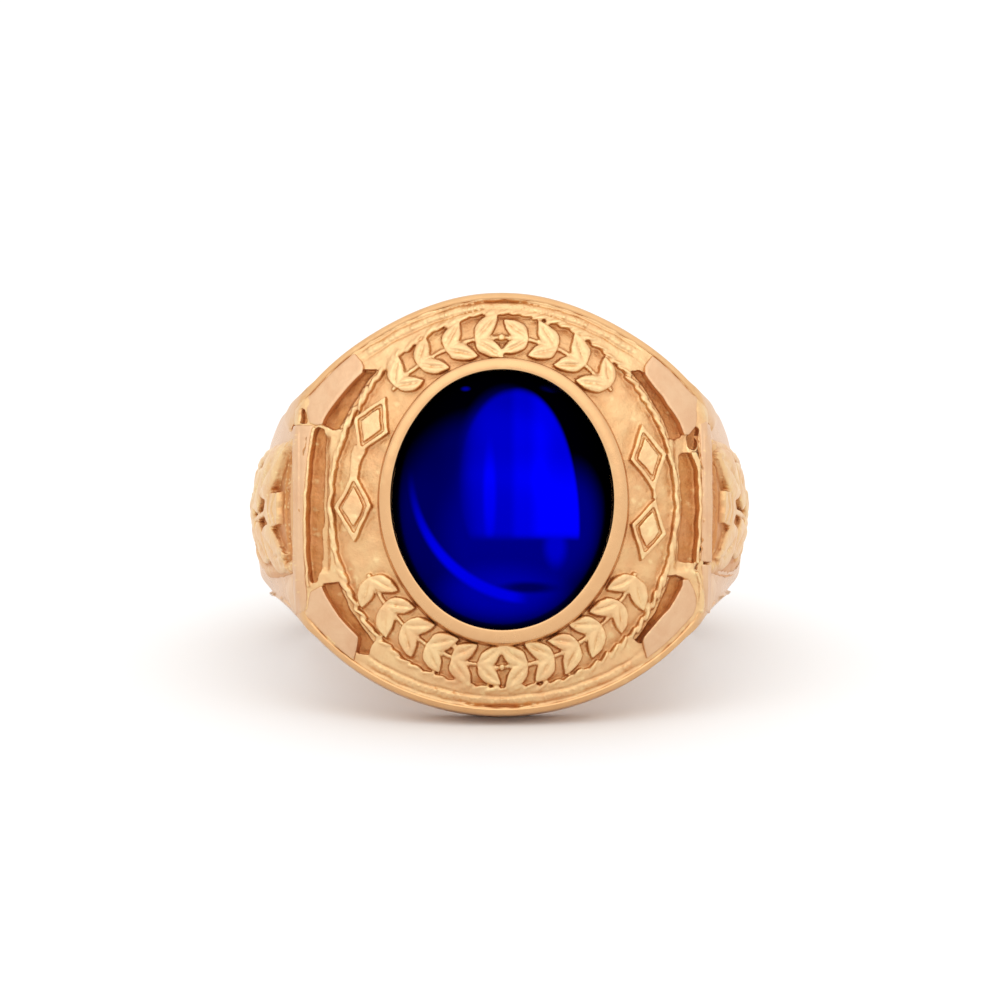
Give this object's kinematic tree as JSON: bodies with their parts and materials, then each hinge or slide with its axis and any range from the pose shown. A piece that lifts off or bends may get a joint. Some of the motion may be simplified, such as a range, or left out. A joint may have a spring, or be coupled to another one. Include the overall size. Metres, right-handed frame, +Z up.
{
  "type": "class ring",
  "caption": "Yellow gold class ring with an oval blue cabochon in a smooth bezel, a rope border, lozenges, leaf sprays and plain shields.",
  "frame": {"origin": "middle of the footprint, on the surface that the ring lies on", "axes": "+Z up, -Y towards the side that the stone faces, +X to the right of a viewer who looks at the stone"},
  "size_m": [0.0234, 0.027, 0.0189],
  "materials": {
    "yellow_gold": "satin",
    "blue_cabochon": "polished"
  },
  "bodies": {
    "root": {"ring_casting": "yellow_gold", "stone": "blue_cabochon"}
  },
  "joints": []
}
